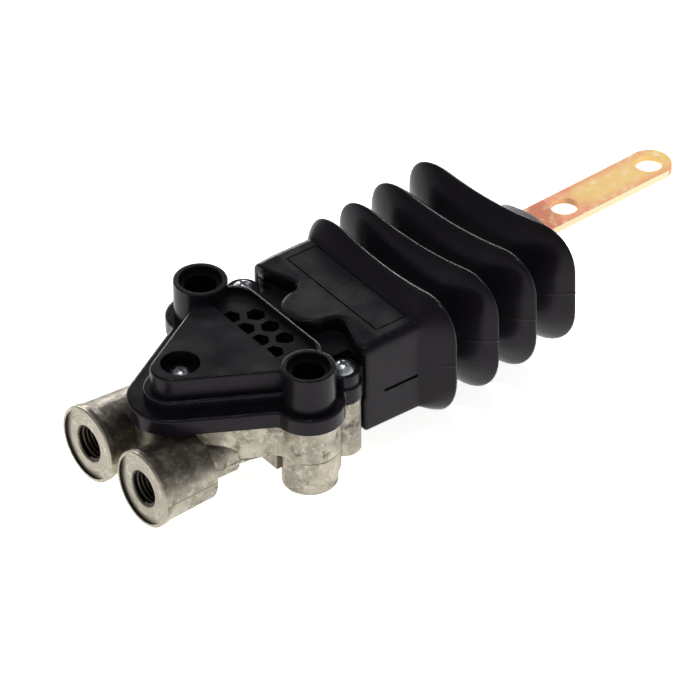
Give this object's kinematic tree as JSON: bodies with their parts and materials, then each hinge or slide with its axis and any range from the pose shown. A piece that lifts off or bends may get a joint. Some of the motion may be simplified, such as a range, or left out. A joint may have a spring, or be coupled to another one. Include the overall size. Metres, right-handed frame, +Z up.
{
  "type": "cab suspension levelling valve",
  "caption": "Air levelling valve with two threaded ports, two through-bolt bosses, a black cover with exhaust grille, a bellows boot and a swinging flat steel lever.",
  "frame": {"origin": "midway between the bottom faces of the two mounting bosses", "axes": "+Z up along the mounting bolts, +X from the ports towards the lever, +Y to the delivery side"},
  "size_m": [0.2371, 0.084, 0.0512],
  "materials": {
    "housing_casting": "rough as cast",
    "black_plastic": "semi-gloss moulded",
    "boot_rubber": "satin moulded rubber",
    "seal_rubber": "satin",
    "zinc_steel": "bright zinc plated",
    "bright_steel": "turned",
    "yellow_steel": "yellow passivated zinc",
    "bronze": "turned",
    "machined_aluminium": "turned, hard anodised",
    "filter_foam": "open-cell pad"
  },
  "bodies": {
    "valve_body": {"valve_housing": "housing_casting", "top_cover": "black_plastic", "cover_gasket": "seal_rubber", "cover_screws": "zinc_steel", "exhaust_filter": "filter_foam", "lower_bush": "bronze", "thrust_washer": "bronze", "upper_bush": "bronze", "bearing_plate": "bright_steel", "bearing_plate_screws": "zinc_steel", "spool_sleeve": "bronze", "sleeve_seals": "seal_rubber", "sleeve_circlip": "bright_steel", "inlet_filter": "bronze", "check_valve_seat": "bronze", "check_valve_spring": "bright_steel", "delivery_restrictor": "bronze", "lever_boot": "boot_rubber"},
    "lever": {"pivot_shaft": "bright_steel", "shaft_circlip": "bright_steel", "lever_arm": "yellow_steel", "lever_rivets": "bright_steel"},
    "spool": {"valve_spool": "machined_aluminium", "spool_seals": "seal_rubber", "spool_yoke": "bright_steel", "yoke_pin": "bright_steel"},
    "check_valve": {"check_valve_disc": "seal_rubber"}
  },
  "joints": [
    {"name": "lever_swing", "type": "hinge", "parent": "valve_body", "child": "lever", "pos_m": [0.008, 0, 0.0291], "axis": [0, 0, 1], "range_deg": [-21.9, 16.1], "deforming": ["lever_boot"]},
    {"name": "spool_slide", "type": "slide", "parent": "valve_body", "child": "spool", "axis": [-1, 0, 0], "range_m": [-0.0016, 0.0012]},
    {"name": "check_valve_lift", "type": "slide", "parent": "valve_body", "child": "check_valve", "axis": [1, 0, 0], "range_m": [0, 0.0012], "stiffness_N_per_m": 100, "springref_m": -0.002, "deforming": ["check_valve_spring"]}
  ],
  "couplings": [
    {"joint": "spool_slide", "follows": "lever_swing", "m_per_rad": 0.004}
  ]
}
